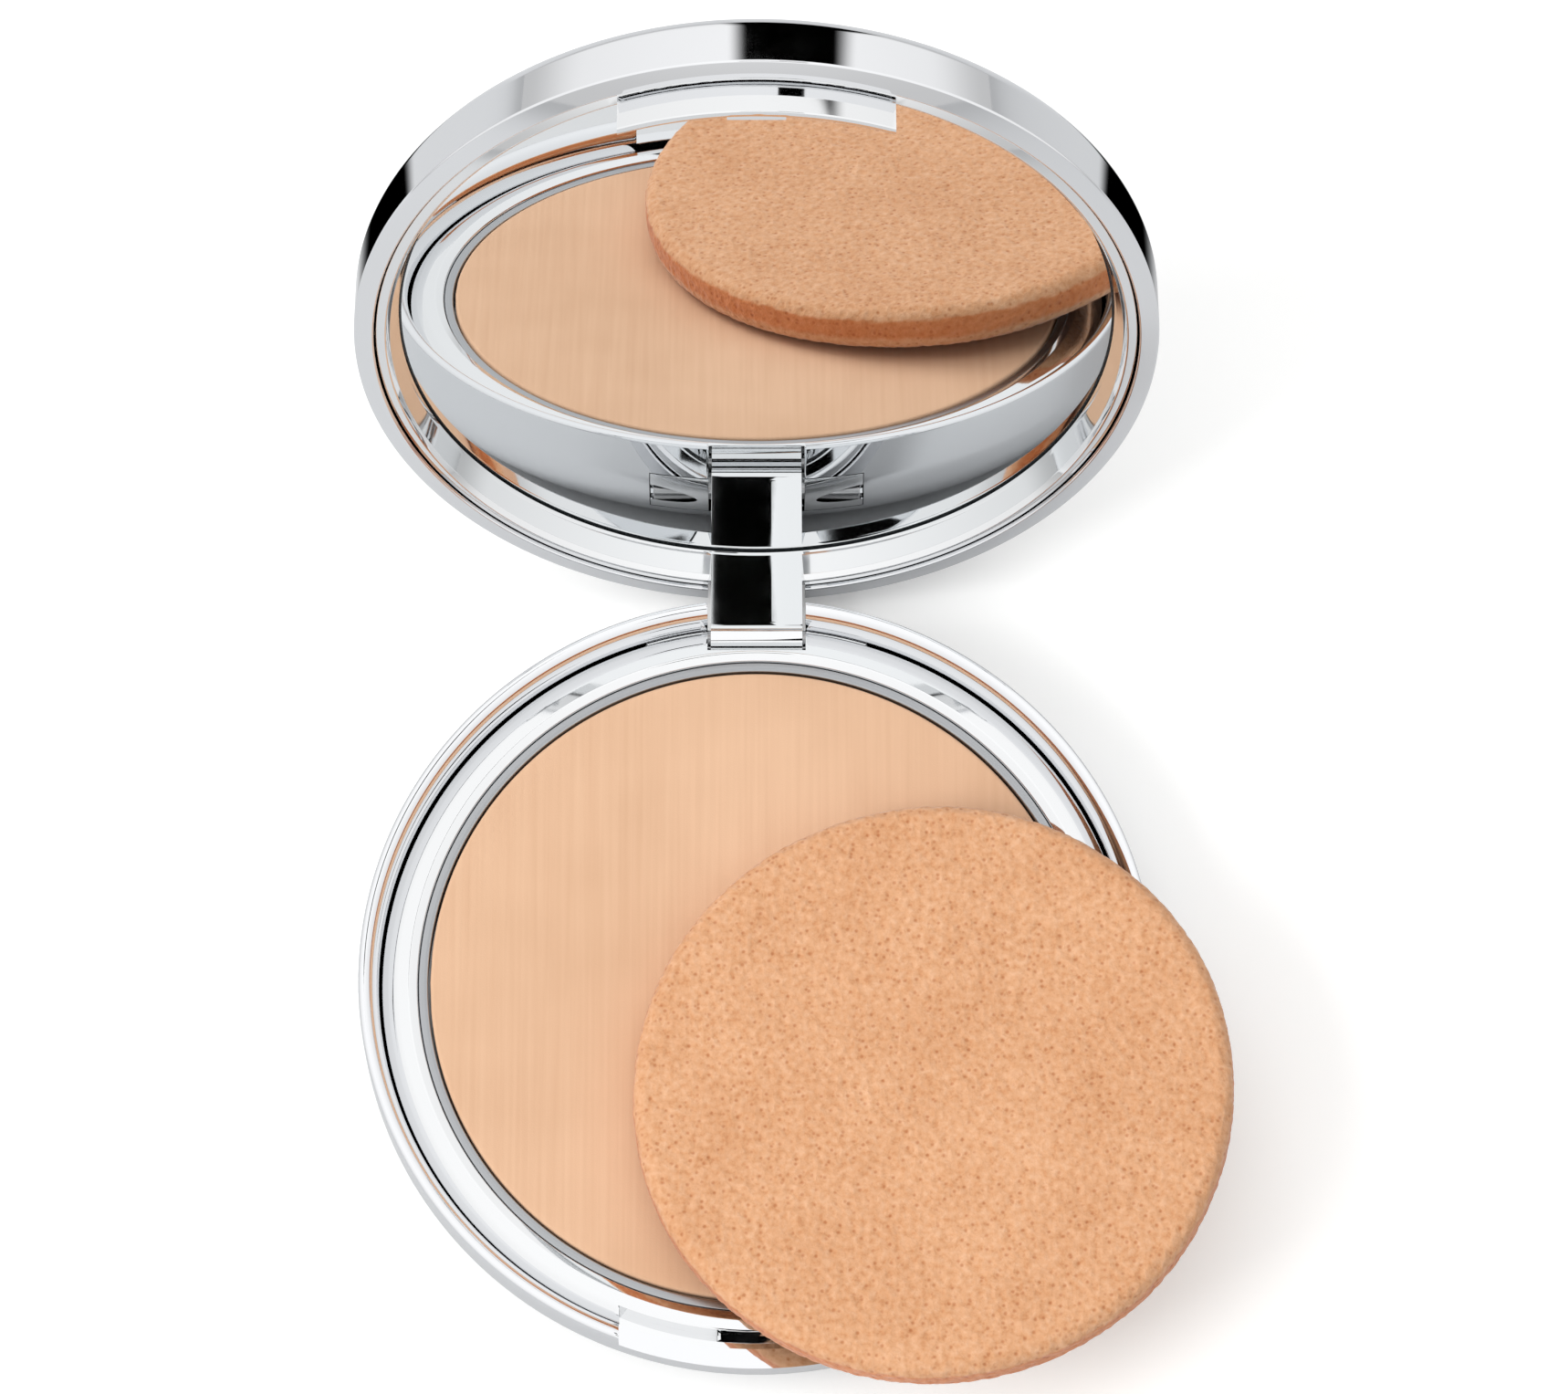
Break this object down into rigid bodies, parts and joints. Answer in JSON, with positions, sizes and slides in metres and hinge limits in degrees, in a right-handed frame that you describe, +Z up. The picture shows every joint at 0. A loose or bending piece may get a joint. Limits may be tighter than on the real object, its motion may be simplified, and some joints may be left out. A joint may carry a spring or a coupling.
{
  "type": "powder compact",
  "caption": "Round chrome powder compact, lid open on its rear hinge with a mirror inside, pressed powder in the base and a round foam sponge laid over it.",
  "frame": {"origin": "centre of the base's flat underside, where the compact rests", "axes": "+Z up out of the base, +Y towards the hinge at the back, -Y towards the thumb notch, X along the hinge pin"},
  "size_m": [0.0808, 0.1109, 0.0716],
  "materials": {
    "case_chrome": "bright chrome plating on moulded plastic",
    "label": "blank satin film",
    "adhesive": "dull foam tape",
    "pan": "drawn sheet",
    "powder": "pressed powder with a fine woven press mark",
    "pin": "plain steel wire",
    "mirror": "silvered glass",
    "sponge": "open-pored latex foam"
  },
  "bodies": {
    "base": {"base_outer_shell": "case_chrome", "base_deck": "case_chrome", "base_label": "label", "pan_adhesive": "adhesive", "powder_pan": "pan", "powder_cake": "powder", "hinge_pin": "pin"},
    "lid": {"lid_outer_shell": "case_chrome", "lid_bezel": "case_chrome", "mirror": "mirror", "mirror_adhesive": "adhesive"},
    "sponge": {"sponge": "sponge"}
  },
  "joints": [
    {"name": "lid_hinge", "type": "hinge", "parent": "base", "child": "lid", "pos_m": [0, 0.035, 0.0061], "axis": [-1, 0, 0], "range_deg": [-110, 0]},
    {"name": "sponge_place", "type": "hinge", "parent": "base", "child": "sponge", "pos_m": [-0.01178, 0.00883, 0.244], "axis": [0.6, 0.8, 0], "range_deg": [0, 5.61]}
  ],
  "couplings": [
    {"joint": "sponge_place", "follows": "lid_hinge", "ratio": -0.050909}
  ]
}
